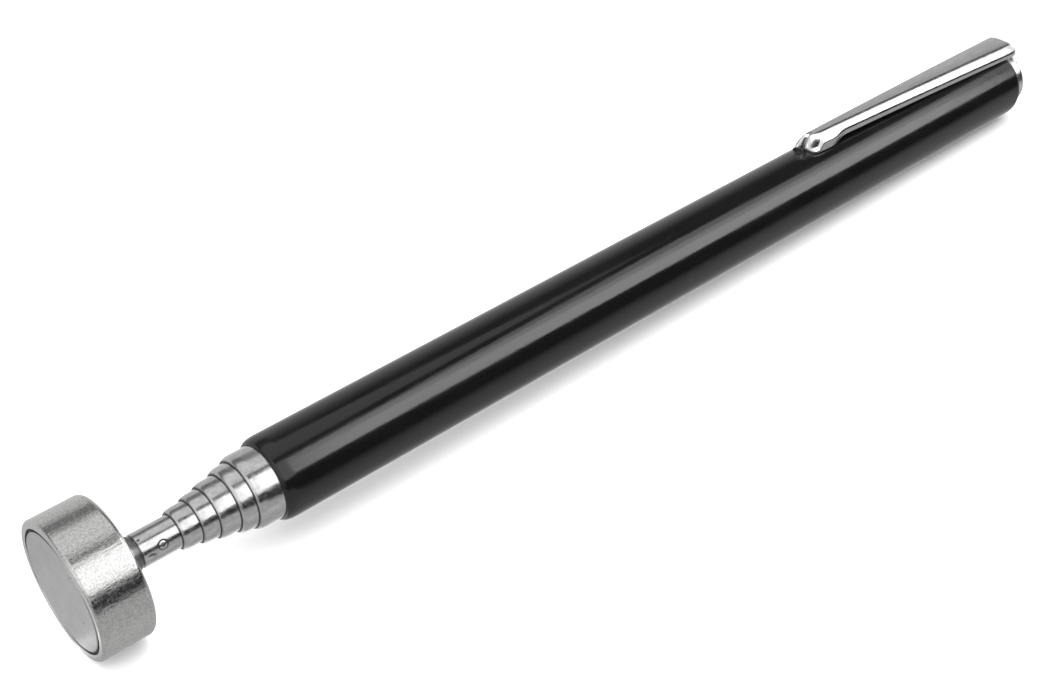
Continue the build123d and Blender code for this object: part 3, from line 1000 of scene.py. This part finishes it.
def tent_material():
    """Glows by angle round the X axis, as a tent of diffusion cloth with dark gaps."""
    material, nodes, links, glow = glow_material("tent_cloth", TENT_PEAK)
    place = nodes.new("ShaderNodeTexCoord")
    parts = nodes.new("ShaderNodeSeparateXYZ")
    links.new(place.outputs["Object"], parts.inputs["Vector"])
    toward = nodes.new("ShaderNodeMath")
    toward.operation = "MULTIPLY"
    toward.inputs[1].default_value = -1
    links.new(parts.outputs["Y"], toward.inputs[0])
    angle = nodes.new("ShaderNodeMath")
    angle.operation = "ARCTAN2"
    links.new(parts.outputs["Z"], angle.inputs[0])
    links.new(toward.outputs["Value"], angle.inputs[1])
    share = nodes.new("ShaderNodeMapRange")
    share.inputs["From Min"].default_value = -pi
    share.inputs["From Max"].default_value = pi
    links.new(angle.outputs["Value"], share.inputs["Value"])
    ramp = nodes.new("ShaderNodeValToRGB")
    elements = ramp.color_ramp.elements
    while len(elements) < len(TENT):
        elements.new(0.5)
    for element, (degrees_up, level) in zip(elements, TENT):
        element.position = (degrees_up + 180) / 360
        element.color = (level / TENT_PEAK, level / TENT_PEAK, level / TENT_PEAK, 1)
    links.new(share.outputs["Result"], ramp.inputs["Fac"])
    links.new(ramp.outputs["Color"], glow.inputs["Color"])
    return material


def only_reflected(piece):
    """Leaves a lighting piece to reflections: no other ray sees it."""
    for ray in ("camera", "diffuse", "transmission", "volume_scatter", "shadow"):
        setattr(piece, f"visible_{ray}", False)


def light_tent(place):
    """A long tunnel round the tool, closed by a card just over the floor, that only reflections see."""
    low = FLOOR_LEVEL_GAP - AXIS_HEIGHT
    loop = []
    for panel in range(TENT_PANELS + 1):
        turn = pi * panel / TENT_PANELS
        loop.append((-TENT_RADIUS * cos(turn), low + TENT_RADIUS * sin(turn)))
    vertices = [(x, y, z) for x in (-TENT_LENGTH / 2, TENT_LENGTH / 2) for y, z in loop]
    count = len(loop)
    faces = [(i, (i + 1) % count, count + (i + 1) % count, count + i) for i in range(count)]
    middle = place @ Matrix.Translation((0, 0, AXIS_HEIGHT))
    only_reflected(stage_object("light_tent", vertices, faces, tent_material(), middle))
    for name, (corners, strength) in CARDS.items():
        vertices = [(x, -CARD_RADIUS * cos(radians(angle)), CARD_RADIUS * sin(radians(angle)))
                    for x, angle in corners]
        glow = glow_material(name, strength)[0]
        only_reflected(stage_object(name, vertices, [range(len(vertices))], glow, middle))
    level = low + FLOOR_LEVEL_GAP
    # glowing sheets on the floor: painted light in place of the lit floor, seen only in reflections
    for name, (near, far, left, right, strength) in FLOOR_GLOW_SHEETS.items():
        corners = [(left, near, level), (right, near, level), (right, far, level), (left, far, level)]
        glow = glow_material(name, strength)[0]
        only_reflected(stage_object(name, corners, [range(4)], glow, middle))


def soft_light(name, place, target, size, power):
    lamp = bpy.data.lights.new(name, "AREA")
    lamp.shape = "DISK"
    lamp.size = size
    lamp.energy = power
    light = bpy.data.objects.new(name, lamp)
    bpy.context.scene.collection.objects.link(light)
    light.location = place
    light.rotation_euler = (Vector(target) - Vector(place)).to_track_quat("-Z", "Y").to_euler()
    light.visible_camera = False
    light.visible_glossy = False


floor_place = floor_frame()
floor_corners = [(-FLOOR_REACH, -FLOOR_REACH, 0), (FLOOR_REACH, -FLOOR_REACH, 0),
                 (FLOOR_REACH, FLOOR_REACH, 0), (-FLOOR_REACH, FLOOR_REACH, 0)]
stage_object("floor", floor_corners, [(0, 1, 2, 3)], floor_material(), floor_place)
light_tent(floor_place)
soft_light("overhead_light", (0.05, -0.5, 1.6), (0.07, 0, 0), size=1.6, power=14)

world = bpy.data.worlds.new("studio")
bpy.context.scene.world = world
world.use_nodes = True
sky = world.node_tree.nodes["Background"]
sky.inputs["Color"].default_value = (1, 1, 1, 1)
sky.inputs["Strength"].default_value = 1.8

# ---------------------------------------------------------------- camera
# Place in millimetres, looking direction, roll and focal length, for the photograph's viewing angle.
CAMERA_PLACE = Vector((-41.84, -142.82, 119.84)) * MM
CAMERA_LOOK = Vector((0.5038, 0.6576, -0.5601))
CAMERA_ROLL = radians(-5.76)
CAMERA_LENS = 56.56

lens = bpy.data.cameras.new("camera")
lens.lens = CAMERA_LENS
lens.sensor_width = 36
lens.clip_start = 0.005
lens.clip_end = 50
camera = bpy.data.objects.new("camera", lens)
bpy.context.scene.collection.objects.link(camera)
level = CAMERA_LOOK.to_track_quat("-Z", "Y").to_matrix().to_4x4()
camera.matrix_world = Matrix.Translation(CAMERA_PLACE) @ level @ Matrix.Rotation(CAMERA_ROLL, 4, "Z")
bpy.context.scene.camera = camera
bpy.context.scene.view_settings.view_transform = "Standard"
